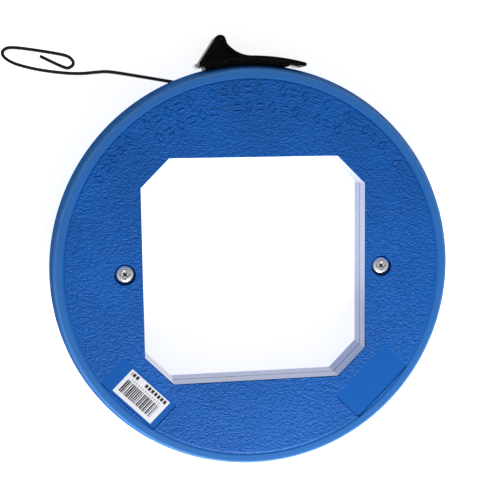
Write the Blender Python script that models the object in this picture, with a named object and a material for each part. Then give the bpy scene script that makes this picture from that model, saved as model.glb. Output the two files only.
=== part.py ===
"""Fish tape reel: a flat round case of two moulded half shells, wound with spring-steel tape.

The reel lies on its rear shell. +Z is the reel's axis, +Y points to the winder, and the origin is the
centre of the footprint of the case and winder, on the plane that the rear shell rests on.
A black winder straddles the slot between the two rims and runs round the case; it leads the tape in or out.
Sizes are in millimetres and become metres when a mesh is made.
"""

import math

import bmesh
import bpy
from mathutils import Matrix, Vector

MM = 0.001

# Case
CASE_RADIUS = 100.0
CASE_THICKNESS = 20.0
OPENING_WIDTH = 110.7
OPENING_CHAMFER = 13.9
WALL = 2.2
RIM_WALL = 3.2
RIM_SLOT = 6.0
RIM_LEAN = 1.8
EDGE_ROUND = 1.3
BORDER_WIDTH = 3.5
BORDER_RISE = 0.3
PARTING_GAP = 0.3
RIM_STEPS = 96

# Label pockets and label
POCKET_LENGTH = 36.0
POCKET_WIDTH = 16.6
POCKET_DEPTH = 0.5
POCKET_RADIUS = 83.6
LABEL_LENGTH = 25.4
LABEL_WIDTH = 14.3
LABEL_THICKNESS = 0.2
LABEL_GAP = 0.05
LABEL_SHIFT = 2.0

# Case fasteners
SCREW_FROM_OPENING = 8.65
BOSS_RADIUS = 6.8
SHANK_RADIUS = 2.05
SHANK_CLEARANCE = 0.15
HEAD_RADIUS = 4.1
HEAD_HEIGHT = 2.3
HEAD_POCKET_CLEARANCE = 1.0
HEAD_POCKET_DEPTH = 2.9
SEAT_GAP = 0.2
DRIVE_SQUARE = 2.4
DRIVE_CROSS = 4.6
DRIVE_SLOT = 1.0
DRIVE_DEPTH = 1.3
NUT_FLATS = 8.7
NUT_HEIGHT = 3.1
NUT_CLEARANCE = 0.15
NUT_INSET = 0.6

# Tape
TAPE_WIDTH = 3.2
TAPE_THICKNESS = 1.5
COIL_LAYERS = 7
COIL_SIDE_GAP = 0.2
COIL_CLEARANCE = 2.0
LEAD_ANGLE = 9.2
TAPE_GAP = 0.3
LEAD_INSIDE = 29.0

# Winder, with heights measured outward from the case radius
RUN_GAP = 0.35
WINDER_WIDTH = 14.0
SADDLE_THICKNESS = 0.9
SADDLE_LEFT = -23.2
SADDLE_RIGHT = 17.5
SADDLE_SLANT = 1.6
LIP_WIDTH = 1.9
STRIP_THICKNESS = 0.5
STRIP_WIDTH = 9.0
STRIP_RIGHT = 23.6
LAYER_GAP = 0.2
TAIL_THICKNESS = 2.05
TAIL_RIGHT = 26.2
HUMP_HEIGHT = 15.0
WEB_DEPTH = 3.2
NECK_SIDE_GAP = 0.3
SHOE_WIDTH = 11.0
SHOE_THICKNESS = 3.5
SHOE_CLEARANCE = 0.4
GUIDE_WIDTH = 8.0
GUIDE_LENGTH = 5.2
GUIDE_FLOOR = 1.5
GUIDE_PLAY = 0.45
WINDER_SCREWS = (-14.6, -8.8)
WINDER_SHANK = 1.15
WINDER_HEAD = 2.1
WINDER_HEAD_HEIGHT = 1.4
WINDER_SCREW_REACH = 5.6
WINDER_CLEARANCE = 0.2

# Tape anchor
ANCHOR_ANGLE = -11.5
ANCHOR_BOSS_RADIUS = 3.2
ANCHOR_BOSS_TOP = 8.6
ANCHOR_FROM_OPENING = 8.0
CLIP_THICKNESS = 0.8
CLIP_WIDTH = 6.0
CLIP_LEG_HEIGHT = 4.4

# Places that follow from the sizes above
MIDDLE = CASE_THICKNESS / 2
FACE_TOP = CASE_THICKNESS - BORDER_RISE
HALF_OPENING = OPENING_WIDTH / 2
FACE_RADIUS = CASE_RADIUS - RIM_LEAN
INNER_RADIUS = CASE_RADIUS - RIM_WALL
SLOT_TOP = MIDDLE + RIM_SLOT / 2
SCREW_X = HALF_OPENING + SCREW_FROM_OPENING
# The coil clears the hub's corners and the screw bosses. The tape leaves on the tangent of its last turn.
HUB_SHORT = HALF_OPENING - OPENING_CHAMFER + WALL * math.tan(math.radians(22.5))
HUB_CORNER = math.hypot(HALF_OPENING + WALL, HUB_SHORT)
COIL_INNER = max(HUB_CORNER, SCREW_X + BOSS_RADIUS) + COIL_CLEARANCE
LEAD_RADIUS = COIL_INNER + (COIL_LAYERS + 0.5) * TAPE_THICKNESS
COIL_OUTER = LEAD_RADIUS - TAPE_THICKNESS / 2 - TAPE_GAP
COIL_WIDTH = 2 * (FACE_TOP - WALL - COIL_SIDE_GAP - MIDDLE)
SADDLE_BOTTOM = RUN_GAP
SADDLE_TOP = SADDLE_BOTTOM + SADDLE_THICKNESS
STRIP_BOTTOM = SADDLE_TOP + LAYER_GAP
STRIP_TOP = STRIP_BOTTOM + STRIP_THICKNESS
GRIP_BOTTOM = STRIP_TOP + LAYER_GAP
TAIL_TOP = GRIP_BOTTOM + TAIL_THICKNESS
SHOE_TOP = -RIM_WALL - SHOE_CLEARANCE
SHOE_BOTTOM = SHOE_TOP - SHOE_THICKNESS

# The hook that is bent into the tape's end: (along, off) from where the tape crosses the rim,
# along the way out and off it, outward.
HOOK_ROUTE = (
    (15.0, 0.1),
    (29.5, 0.0),
    (36.0, -1.2),
    (42.0, -2.7),
    (48.6, -3.7),
    (57.3, -4.2),
    (65.7, -4.1),
    (74.0, -3.1),
    (78.6, -1.2),
    (80.0, 1.0),
    (78.6, 3.1),
    (75.0, 4.1),
    (66.8, 4.5),
    (54.4, 4.5),
    (49.4, 3.8),
    (47.1, 1.5),
    (48.3, -0.7),
    (51.4, -1.2),
    (62.8, 2.1),
)


def material(name, color, roughness, metallic=0.0):
    """A plain finish for one kind of piece."""
    made = bpy.data.materials.new(name)
    made.use_nodes = True
    shader = made.node_tree.nodes["Principled BSDF"]
    shader.inputs["Base Color"].default_value = (*color, 1.0)
    shader.inputs["Roughness"].default_value = roughness
    shader.inputs["Metallic"].default_value = metallic
    return made


def add(name, mesh, finish, parent):
    """Links a mesh as a named object that hangs from an empty."""
    made = bpy.data.objects.new(name, mesh)
    bpy.context.scene.collection.objects.link(made)
    made.parent = parent
    made.data.materials.append(finish)
    made.data.shade_smooth()
    made.data.set_sharp_from_angle(angle=math.radians(32))
    return made


def empty(name, x=0.0, y=0.0, z=0.0, parent=None):
    """A frame that pieces hang from: a moving piece's frame stands on its joint's axis."""
    made = bpy.data.objects.new(name, None)
    bpy.context.scene.collection.objects.link(made)
    made.location = (x * MM, y * MM, z * MM)
    made.parent = parent
    return made


def mesh_of(name, work):
    """Turns a bmesh in millimetres into a mesh in metres with outward faces."""
    bmesh.ops.recalc_face_normals(work, faces=work.faces)
    if work.calc_volume(signed=True) < 0:
        bmesh.ops.reverse_faces(work, faces=work.faces)
    work.transform(Matrix.Scale(MM, 4))
    mesh = bpy.data.meshes.new(name)
    work.to_mesh(mesh)
    work.free()
    return mesh


def prism(name, outline, low, high):
    """A solid with a flat outline in x and y, between two heights."""
    work = bmesh.new()
    base = work.faces.new([work.verts.new((x, y, low)) for x, y in outline])
    grown = bmesh.ops.extrude_face_region(work, geom=[base])
    top = [item for item in grown["geom"] if isinstance(item, bmesh.types.BMVert)]
    bmesh.ops.translate(work, verts=top, vec=(0.0, 0.0, high - low))
    return mesh_of(name, work)


def turned(name, profile, steps, placed=None):
    """A solid of revolution about Z from a closed (radius, height) profile, then placed by a matrix."""
    work = bmesh.new()
    rings = []
    for step in range(steps):
        angle = 2 * math.pi * step / steps
        ring = [work.verts.new((r * math.cos(angle), r * math.sin(angle), z)) for r, z in profile]
        rings.append(ring)
    count = len(profile)
    for step in range(steps):
        here = rings[step]
        there = rings[(step + 1) % steps]
        for i in range(count):
            j = (i + 1) % count
            work.faces.new((here[i], here[j], there[j], there[i]))
    bmesh.ops.remove_doubles(work, verts=work.verts, dist=1e-6)
    bmesh.ops.dissolve_degenerate(work, edges=work.edges, dist=1e-6)
    if placed:
        work.transform(placed)
    return mesh_of(name, work)


def rod(name, radius, low, high, steps=16, placed=None):
    """A plain round bar along Z."""
    work = bmesh.new()
    bmesh.ops.create_cone(
        work, cap_ends=True, segments=steps, radius1=radius, radius2=radius, depth=high - low
    )
    bmesh.ops.translate(work, verts=work.verts, vec=(0.0, 0.0, (low + high) / 2))
    if placed:
        work.transform(placed)
    return mesh_of(name, work)


def boolean(target, mesh, operation):
    """Cuts a mesh from a piece, or joins it on, with a live modifier."""
    tool = bpy.data.objects.new(f"{mesh.name}_tool", mesh)
    bpy.context.scene.collection.objects.link(tool)
    tool.parent = target.parent
    tool.hide_render = True
    tool.display_type = "WIRE"
    step = target.modifiers.new(mesh.name, "BOOLEAN")
    step.operation = operation
    step.object = tool
    step.solver = "EXACT"


def octagon(half, chamfer):
    """A square with cut corners."""
    short = half - chamfer
    return [
        (half, -short),
        (half, short),
        (short, half),
        (-short, half),
        (-half, short),
        (-half, -short),
        (-short, -half),
        (short, -half),
    ]


def outer_octagon(offset):
    """The opening's outline moved outward by a wall."""
    half = HALF_OPENING + offset
    short = HALF_OPENING - OPENING_CHAMFER + offset * math.tan(math.radians(22.5))
    return octagon(half, half - short)


def rectangle(length, width, centre, angle):
    """A turned rectangle's corners."""
    spin = Matrix.Rotation(angle, 2)
    corners = ((-1, -1), (1, -1), (1, 1), (-1, 1))
    turned_corners = [spin @ Vector((i * length / 2, j * width / 2)) for i, j in corners]
    return [(centre[0] + c.x, centre[1] + c.y) for c in turned_corners]


def arc(centre, radius, start, end, steps):
    """Points on a circular arc, with angles in degrees."""
    angles = [math.radians(start + (end - start) * i / steps) for i in range(steps + 1)]
    return [(centre[0] + radius * math.cos(a), centre[1] + radius * math.sin(a)) for a in angles]


def on_rim(along, height):
    """The point at a distance along the rim from the top of the case, clockwise, and a height off it."""
    angle = along / CASE_RADIUS
    radius = CASE_RADIUS + height
    return (radius * math.sin(angle), radius * math.cos(angle))


def rim_band(low, high, left, right, slant=0.0, spacing=2.0):
    """An outline that follows the rim between two heights and two places, its top longer by the slant."""
    steps = max(2, round((right - left) / spacing))
    parts = [i / steps for i in range(steps + 1)]
    outer = [on_rim(left + (right + slant - left) * part, high) for part in parts]
    inner = [on_rim(left + (right - left) * part, low) for part in reversed(parts)]
    return outer + inner


def radial(along):
    """Takes the Z axis to the outward direction at a place along the rim, on the case's middle plane."""
    angle = along / CASE_RADIUS
    outward = Vector((math.sin(angle), math.cos(angle), 0.0))
    turn = Vector((0.0, 0.0, 1.0)).rotation_difference(outward).to_matrix().to_4x4()
    start = outward * CASE_RADIUS
    return Matrix.Translation((start.x, start.y, MIDDLE)) @ turn


def lead_frame():
    """(a point, the way out, the outward normal) of the straight line that the tape leaves the coil on."""
    slope = math.radians(LEAD_ANGLE)
    normal = Vector((math.sin(slope), math.cos(slope)))
    way_out = Vector((-math.cos(slope), math.sin(slope)))
    return normal * LEAD_RADIUS, way_out, normal


def guide_mouth():
    """How far along the lead line the tape leaves the winder's guide."""
    turn = math.radians(LEAD_ANGLE) - SADDLE_LEFT / CASE_RADIUS
    return LEAD_RADIUS * math.tan(turn)


def tape_route():
    """The middle line of the tape from inside the case to the end of its hook."""
    start, way_out, normal = lead_frame()
    at_rim = math.sqrt(CASE_RADIUS**2 - LEAD_RADIUS**2)
    first = guide_mouth() - LEAD_INSIDE
    straight = [(first - at_rim + (at_rim - first) * i / 6, 0.0) for i in range(7)]
    route = straight + list(HOOK_ROUTE)
    flat = [start + way_out * (at_rim + along) + normal * off for along, off in route]
    return smooth(flat, straight_until=len(straight))


def smooth(points, straight_until, per_gap=4):
    """A smooth curve through points: the part that is straight keeps its points."""
    line = list(points[:straight_until])
    for i in range(straight_until, len(points)):
        before = points[max(i - 2, 0)]
        a = points[i - 1]
        b = points[i]
        after = points[min(i + 1, len(points) - 1)]
        for k in range(1, per_gap + 1):
            t = k / per_gap
            spread = (b - before) * t + (before * 2 - a * 5 + b * 4 - after) * t**2
            spread += (a * 3 - before - b * 3 + after) * t**3
            line.append(a + spread * 0.5)
    return line


def ribbon(name, line, width, thickness, middle):
    """A flat strip that stands on edge along a line in x and y."""
    work = bmesh.new()
    rings = []
    for i, point in enumerate(line):
        before = line[max(i - 1, 0)]
        after = line[min(i + 1, len(line) - 1)]
        run = (after - before).normalized()
        side = Vector((-run.y, run.x)) * thickness / 2
        corners = ((point + side, 1), (point + side, -1), (point - side, -1), (point - side, 1))
        rings.append([work.verts.new((p.x, p.y, middle + up * width / 2)) for p, up in corners])
    for here, there in zip(rings, rings[1:]):
        for i in range(4):
            j = (i + 1) % 4
            work.faces.new((here[i], here[j], there[j], there[i]))
    work.faces.new(rings[0])
    work.faces.new(reversed(rings[-1]))
    return mesh_of(name, work)


def shell_profile():
    """The front shell's cross-section from the axis outward: plate, border, rounded edge and rim wall."""
    border_outer = FACE_RADIUS - EDGE_ROUND
    border_inner = border_outer - BORDER_WIDTH
    edge_centre = (border_outer, CASE_THICKNESS - EDGE_ROUND)
    rounded = [(r, z) for r, z in arc(edge_centre, EDGE_ROUND, 90, 0, 4)]
    plate_under = FACE_TOP - WALL
    outline = [(0.0, FACE_TOP), (border_inner, FACE_TOP), (border_inner + BORDER_RISE, CASE_THICKNESS)]
    outline += rounded
    outline += [(CASE_RADIUS, SLOT_TOP), (INNER_RADIUS, SLOT_TOP), (INNER_RADIUS, plate_under - 1.0)]
    outline += [(INNER_RADIUS - 1.0, plate_under), (0.0, plate_under)]
    return outline


def shell(name, finish, parent, front):
    """One half of the case. The rear half is the front one turned over, with its own pockets."""
    height = (lambda z: z) if front else (lambda z: CASE_THICKNESS - z)
    profile = [(r, height(z)) for r, z in shell_profile()]
    made = add(name, turned(name, profile, RIM_STEPS), finish, parent)
    plate = FACE_TOP - WALL / 2
    seam = MIDDLE + PARTING_GAP / 2
    low, high = sorted((height(plate), height(seam)))
    boolean(made, prism(f"{name}_hub_wall", outer_octagon(WALL), low, high), "UNION")
    for side in (-1, 1):
        place = Matrix.Translation((side * SCREW_X, 0.0, 0.0))
        boss = rod(f"{name}_boss_{side}", BOSS_RADIUS, low, high, 24, place)
        boolean(made, boss, "UNION")
    if not front:
        boolean(made, anchor_boss(), "UNION")
    through = prism(
        f"{name}_opening", octagon(HALF_OPENING, OPENING_CHAMFER), -1.0, CASE_THICKNESS + 1.0
    )
    boolean(made, through, "DIFFERENCE")
    for side in (-1, 1):
        place = Matrix.Translation((side * SCREW_X, 0.0, 0.0))
        hole = rod(
            f"{name}_hole_{side}",
            SHANK_RADIUS + SHANK_CLEARANCE,
            -1.0,
            CASE_THICKNESS + 1.0,
            16,
            place,
        )
        boolean(made, hole, "DIFFERENCE")
        if front:
            pocket = rod(
                f"{name}_head_pocket_{side}",
                HEAD_RADIUS + HEAD_POCKET_CLEARANCE,
                FACE_TOP - HEAD_POCKET_DEPTH,
                CASE_THICKNESS + 1.0,
                32,
                place,
            )
        else:
            pocket = rod(
                f"{name}_nut_pocket_{side}",
                nut_radius(NUT_FLATS + 2 * NUT_CLEARANCE),
                -1.0,
                NUT_INSET + NUT_HEIGHT + SEAT_GAP,
                6,
                place,
            )
        boolean(made, pocket, "DIFFERENCE")
    if front:
        for side in (-1, 1):
            outline = rectangle(
                POCKET_LENGTH, POCKET_WIDTH, pocket_centre(side), side * math.radians(45)
            )
            pocket = prism(
                f"{name}_label_pocket_{side}", outline, FACE_TOP - POCKET_DEPTH, CASE_THICKNESS + 1.0
            )
            boolean(made, pocket, "DIFFERENCE")
    else:
        boolean(made, anchor_hole(), "DIFFERENCE")
    return made


def pocket_centre(side):
    """The middle of the left (-1) or right (+1) label pocket."""
    reach = POCKET_RADIUS * math.sqrt(0.5)
    return (side * reach, -reach)


def nut_radius(flats):
    """A hexagon's corner radius from its width across flats."""
    return flats / 2 / math.cos(math.radians(30))


def anchor_place():
    """Where the tape's inner end is held: just outside the opening's top wall."""
    radius = (HALF_OPENING + ANCHOR_FROM_OPENING) / math.cos(math.radians(ANCHOR_ANGLE))
    angle = math.radians(ANCHOR_ANGLE)
    return Vector((radius * math.sin(angle), radius * math.cos(angle), 0.0))


def anchor_boss():
    """The post that the anchor screw goes into."""
    place = Matrix.Translation(anchor_place())
    return rod("anchor_boss", ANCHOR_BOSS_RADIUS, WALL / 2, ANCHOR_BOSS_TOP, 20, place)


def anchor_hole():
    """The screw hole in the anchor post."""
    place = Matrix.Translation(anchor_place())
    radius = WINDER_SHANK + WINDER_CLEARANCE
    return rod("anchor_hole", radius, WALL + 1.0, ANCHOR_BOSS_TOP + 1.0, 16, place)


def case_screw(name, side, finish, parent):
    """A pan-head screw with a recess for a square or cross driver."""
    seat = FACE_TOP - HEAD_POCKET_DEPTH + SEAT_GAP
    top = seat + HEAD_HEIGHT
    crown = 0.35 * HEAD_HEIGHT
    turns = (0.0, 0.45, 0.85, 1.2)
    dome = [(HEAD_RADIUS * math.sin(a), top - crown * (1 - math.cos(a))) for a in turns]
    profile = dome + [(HEAD_RADIUS, top - crown), (HEAD_RADIUS, seat), (SHANK_RADIUS, seat)]
    profile += [(SHANK_RADIUS, NUT_INSET), (SHANK_RADIUS - 0.4, NUT_INSET - 0.4), (0.0, NUT_INSET - 0.4)]
    place = Matrix.Translation((side * SCREW_X, 0.0, 0.0))
    made = add(name, turned(name, profile, 24, place), finish, parent)
    slots = ((DRIVE_CROSS, DRIVE_SLOT), (DRIVE_SLOT, DRIVE_CROSS), (DRIVE_SQUARE, DRIVE_SQUARE))
    for i, (length, width) in enumerate(slots):
        outline = rectangle(length, width, (side * SCREW_X, 0.0), 0.0)
        recess = prism(f"{name}_drive_{i}", outline, top - DRIVE_DEPTH - 0.1 * i, top + 1.0)
        boolean(made, recess, "DIFFERENCE")
    return made


def case_nut(name, side, finish, parent):
    """A hexagon nut in the rear shell's pocket."""
    place = Matrix.Translation((side * SCREW_X, 0.0, 0.0))
    bottom = NUT_INSET
    body = rod(name, nut_radius(NUT_FLATS), bottom, bottom + NUT_HEIGHT, 6, place)
    made = add(name, body, finish, parent)
    hole_radius = SHANK_RADIUS + SHANK_CLEARANCE
    thread = rod(f"{name}_hole", hole_radius, bottom - 1.0, bottom + NUT_HEIGHT + 1.0, 24, place)
    boolean(made, thread, "DIFFERENCE")
    return made


def barcode_label(finish, parent):
    """The paper label in the left pocket."""
    centre = pocket_centre(-1)
    shift = LABEL_SHIFT * math.sqrt(0.5)
    place = (centre[0] + shift, centre[1] - shift)
    outline = rectangle(LABEL_LENGTH, LABEL_WIDTH, place, math.radians(-45))
    bottom = FACE_TOP - POCKET_DEPTH + LABEL_GAP
    mesh = prism("barcode_label", outline, bottom, bottom + LABEL_THICKNESS)
    return add("barcode_label", mesh, finish, parent)


def tape_coil(finish, parent):
    """The wound turns as one ring."""
    low = MIDDLE - COIL_WIDTH / 2
    high = MIDDLE + COIL_WIDTH / 2
    profile = [(COIL_INNER, high), (COIL_OUTER, high), (COIL_OUTER, low), (COIL_INNER, low)]
    return add("fish_tape_coil", turned("fish_tape_coil", profile, 72), finish, parent)


def tape_anchor(steel, zinc, parent):
    """The bent clip that pinches the tape's inner end, and the screw that holds it to its post."""
    angle = math.radians(ANCHOR_ANGLE)
    place = Matrix.Translation(anchor_place()) @ Matrix.Rotation(-angle, 4, "Z")
    foot_low = ANCHOR_BOSS_TOP + TAPE_GAP
    foot_high = foot_low + CLIP_THICKNESS
    leg_outer = COIL_INNER - TAPE_GAP - anchor_place().length
    half = CLIP_WIDTH / 2
    work = bmesh.new()
    side = [
        (-half, foot_low),
        (leg_outer, foot_low),
        (leg_outer, foot_high + CLIP_LEG_HEIGHT),
        (leg_outer - CLIP_THICKNESS, foot_high + CLIP_LEG_HEIGHT),
        (leg_outer - CLIP_THICKNESS, foot_high),
        (-half, foot_high),
    ]
    base = work.faces.new([work.verts.new((-half, y, z)) for y, z in side])
    grown = bmesh.ops.extrude_face_region(work, geom=[base])
    moved = [item for item in grown["geom"] if isinstance(item, bmesh.types.BMVert)]
    bmesh.ops.translate(work, verts=moved, vec=(CLIP_WIDTH, 0.0, 0.0))
    work.transform(place)
    clip = add("tape_anchor_clip", mesh_of("tape_anchor_clip", work), steel, parent)
    hole = rod("clip_hole", WINDER_SHANK + WINDER_CLEARANCE, foot_low - 1.0, foot_high + 1.0, 16, place)
    boolean(clip, hole, "DIFFERENCE")
    seat = foot_high + SEAT_GAP
    top = seat + WINDER_HEAD_HEIGHT
    profile = [(0.0, top), (WINDER_HEAD * 0.7, top), (WINDER_HEAD, seat + 0.5), (WINDER_HEAD, seat)]
    profile += [(WINDER_SHANK, seat), (WINDER_SHANK, WALL + 2.0), (0.0, WALL + 1.4)]
    add("tape_anchor_screw", turned("tape_anchor_screw", profile, 16, place), zinc, parent)


def hump_outline():
    """The winder's side view: foot, straight back, rounded top, hollow front and thin tail."""
    crest = arc((-13.9, HUMP_HEIGHT - 2.4), 2.4, 138, 20, 7)
    hollow = arc((0.0, TAIL_TOP + 12.8), 12.8, 207, 270, 9)
    tail = [(x, TAIL_TOP) for x in (4.0, 8.0, 12.0, 16.0, 20.0)]
    tip = arc((TAIL_RIGHT - 1.0, TAIL_TOP - 1.0), 1.0, 90, -60, 4)
    under = [(24.0 - 4.0 * i, GRIP_BOTTOM) for i in range(12)]
    foot = [(-24.4, GRIP_BOTTOM), (-25.3, GRIP_BOTTOM + 0.8), (-25.3, GRIP_BOTTOM + 1.7)]
    return crest + hollow[1:] + tail + tip + under + foot


def axis_y():
    """The reel's axis, placed so that the origin is midway between the case's bottom and the hump's top."""
    return (CASE_RADIUS - max(on_rim(*point)[1] for point in hump_outline())) / 2


def web_outline():
    """The triangular hollow in each side of the hump."""
    crest = arc((-13.9, HUMP_HEIGHT - 3.2), 1.0, 138, 30, 3)
    hollow = arc((0.4, TAIL_TOP + 13.2), 14.6, 205, 246, 5)
    drops = ((-7.2, 0.3), (-12.0, 0.5), (-18.0, 0.6), (-22.6, 0.4))
    base = [(along, TAIL_TOP - drop) for along, drop in drops]
    return crest + hollow + base


def winder_grip(finish, parent):
    """The thumb piece, with a hollow in each side of its hump."""
    half = WINDER_WIDTH / 2
    outline = [on_rim(*point) for point in hump_outline()]
    made = add("winder_grip", prism("winder_grip", outline, MIDDLE - half, MIDDLE + half), finish, parent)
    web = [on_rim(*point) for point in web_outline()]
    for side in (-1, 1):
        low, high = sorted((MIDDLE + side * (half - WEB_DEPTH), MIDDLE + side * (half + 1.0)))
        boolean(made, prism(f"winder_web_{side}", web, low, high), "DIFFERENCE")
    for i, along in enumerate(WINDER_SCREWS):
        reach = WINDER_SCREW_REACH + 0.4
        hole = rod(
            f"grip_hole_{i}", WINDER_SHANK + WINDER_CLEARANCE, 0.0, reach, 16, radial(along)
        )
        boolean(made, hole, "DIFFERENCE")
    return made


def winder_saddle(finish, parent):
    """The tray that slides on the rims, with a lip on each side, and the neck that runs in the slot."""
    half = WINDER_WIDTH / 2
    lip_top = GRIP_BOTTOM - LAYER_GAP
    band = rim_band(SADDLE_BOTTOM, lip_top, SADDLE_LEFT, SADDLE_RIGHT, SADDLE_SLANT)
    mesh = prism("winder_saddle", band, MIDDLE - half, MIDDLE + half)
    made = add("winder_saddle", mesh, finish, parent)
    tray_half = half - LIP_WIDTH
    tray = rim_band(SADDLE_TOP, lip_top + 2.0, SADDLE_LEFT - 2.0, SADDLE_RIGHT + 5.0)
    boolean(made, prism("winder_tray", tray, MIDDLE - tray_half, MIDDLE + tray_half), "DIFFERENCE")
    neck_half = RIM_SLOT / 2 - NECK_SIDE_GAP
    neck_low = SHOE_TOP + LAYER_GAP
    neck_band = rim_band(neck_low, SADDLE_BOTTOM + 0.4, SADDLE_LEFT + 0.3, SADDLE_RIGHT - 1.0)
    neck = prism("winder_neck", neck_band, MIDDLE - neck_half, MIDDLE + neck_half)
    boolean(made, neck, "UNION")
    for i, along in enumerate(WINDER_SCREWS):
        hole = rod(
            f"saddle_hole_{i}",
            WINDER_SHANK + WINDER_CLEARANCE,
            SHOE_TOP - 1.0,
            GRIP_BOTTOM,
            16,
            radial(along),
        )
        boolean(made, hole, "DIFFERENCE")
    return made


def winder_strip(finish, parent):
    """The spring-steel strip between saddle and grip: it curls up at the foot and lies under the tail."""
    steps = 16
    middle = (STRIP_BOTTOM + STRIP_TOP) / 2
    curl = ((-25.2, 0.1), (-26.2, 0.5), (-26.8, 1.3), (-26.6, 2.2))
    turned_up = [(along, middle + rise) for along, rise in curl]
    flat = [(-24.0 + (STRIP_RIGHT + 24.0) * i / steps, middle) for i in range(steps + 1)]
    line = [Vector(on_rim(*point)) for point in list(reversed(turned_up)) + flat]
    mesh = ribbon("winder_wear_strip", line, STRIP_WIDTH, STRIP_THICKNESS, MIDDLE)
    made = add("winder_wear_strip", mesh, finish, parent)
    for i, along in enumerate(WINDER_SCREWS):
        hole = rod(
            f"strip_hole_{i}", WINDER_SHANK + WINDER_CLEARANCE, SADDLE_TOP, GRIP_BOTTOM, 16, radial(along)
        )
        boolean(made, hole, "DIFFERENCE")
    return made


def winder_shoe(finish, parent):
    """The foot inside the case: it hooks behind both rims, and its nose leads the tape to the slot."""
    half = SHOE_WIDTH / 2
    band = rim_band(SHOE_BOTTOM, SHOE_TOP, SADDLE_LEFT, SADDLE_RIGHT - 1.0)
    made = add("winder_shoe", prism("winder_shoe", band, MIDDLE - half, MIDDLE + half), finish, parent)
    start, way_out, normal = lead_frame()
    inner_turn = math.radians(LEAD_ANGLE) - (SADDLE_LEFT + GUIDE_LENGTH) / CASE_RADIUS
    inner_end = LEAD_RADIUS / math.cos(inner_turn)
    nose_bottom = inner_end - TAPE_THICKNESS / 2 - GUIDE_PLAY - GUIDE_FLOOR - CASE_RADIUS
    nose_band = rim_band(nose_bottom, SHOE_BOTTOM + 0.5, SADDLE_LEFT, SADDLE_LEFT + GUIDE_LENGTH)
    nose = prism("guide_nose", nose_band, MIDDLE - GUIDE_WIDTH / 2, MIDDLE + GUIDE_WIDTH / 2)
    boolean(made, nose, "UNION")
    centre = start + way_out * guide_mouth()
    passage = rectangle(
        30.0, TAPE_THICKNESS + 2 * GUIDE_PLAY, (centre.x, centre.y), math.radians(-LEAD_ANGLE)
    )
    side = TAPE_WIDTH / 2 + GUIDE_PLAY
    boolean(made, prism("guide_passage", passage, MIDDLE - side, MIDDLE + side), "DIFFERENCE")
    for i, along in enumerate(WINDER_SCREWS):
        shank = rod(
            f"shoe_hole_{i}", WINDER_SHANK + WINDER_CLEARANCE, SHOE_BOTTOM - 1.0, 0.0, 16, radial(along)
        )
        boolean(made, shank, "DIFFERENCE")
        head = rod(
            f"shoe_head_hole_{i}",
            WINDER_HEAD + WINDER_CLEARANCE,
            SHOE_BOTTOM - 1.0,
            SHOE_BOTTOM + WINDER_HEAD_HEIGHT + SEAT_GAP,
            20,
            radial(along),
        )
        boolean(made, head, "DIFFERENCE")
    return made


def winder_screw(name, along, finish, parent):
    """A small screw from inside the shoe up into the grip."""
    seat = SHOE_BOTTOM + WINDER_HEAD_HEIGHT
    profile = [
        (0.0, SHOE_BOTTOM + 0.1),
        (WINDER_HEAD * 0.75, SHOE_BOTTOM + 0.1),
        (WINDER_HEAD, SHOE_BOTTOM + 0.7),
        (WINDER_HEAD, seat),
        (WINDER_SHANK, seat),
        (WINDER_SHANK, WINDER_SCREW_REACH - 0.8),
        (0.0, WINDER_SCREW_REACH),
    ]
    return add(name, turned(name, profile, 16, radial(along)), finish, parent)


def tape_end(finish, parent):
    """The free end of the tape, from inside the case through the guide and the slot to its hook."""
    mesh = ribbon("fish_tape_end", tape_route(), TAPE_WIDTH, TAPE_THICKNESS, MIDDLE)
    return add("fish_tape_end", mesh, finish, parent)


def main():
    for old in list(bpy.data.objects):
        bpy.data.objects.remove(old)
    blue = material("case_blue", (0.035, 0.13, 0.45), 0.45)
    black = material("winder_black", (0.012, 0.012, 0.014), 0.4)
    shoe_black = material("shoe_black", (0.02, 0.02, 0.022), 0.5)
    tape_steel = material("tape_steel", (0.03, 0.03, 0.035), 0.35, 0.9)
    zinc = material("zinc_plate", (0.7, 0.71, 0.72), 0.3, 1.0)
    bright_steel = material("spring_steel", (0.62, 0.62, 0.6), 0.28, 1.0)
    paper = material("label_paper", (0.85, 0.85, 0.87), 0.6)

    case = empty("case_axis", 0.0, axis_y())
    shell("front_shell", blue, case, front=True)
    shell("rear_shell", blue, case, front=False)
    for side, word in ((-1, "left"), (1, "right")):
        case_screw(f"case_screw_{word}", side, zinc, case)
        case_nut(f"case_nut_{word}", side, zinc, case)
    barcode_label(paper, case)
    tape_coil(tape_steel, case)
    tape_anchor(bright_steel, zinc, case)

    winder = empty("winder_axis", parent=case)
    winder_grip(black, winder)
    winder_saddle(black, winder)
    winder_strip(bright_steel, winder)
    winder_shoe(shoe_black, winder)
    for along, word in zip(WINDER_SCREWS, ("rear", "front")):
        winder_screw(f"winder_screw_{word}", along, zinc, winder)

    feed = empty("tape_feed_axis", parent=winder)
    tape_end(tape_steel, feed)


main()
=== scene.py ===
"""Fish tape reel: the detailed pieces and finishes that go round the packed model.

It is laid out as an add-on, with one operator for each group of pieces, and is run as a script.
Shapes are worked out in millimetres about the reel's axis, then placed in the model's own frame.
"""

import math

import bmesh
import bpy
from bpy.props import FloatProperty, FloatVectorProperty, IntProperty, PointerProperty
from mathutils import Matrix, Vector


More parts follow.
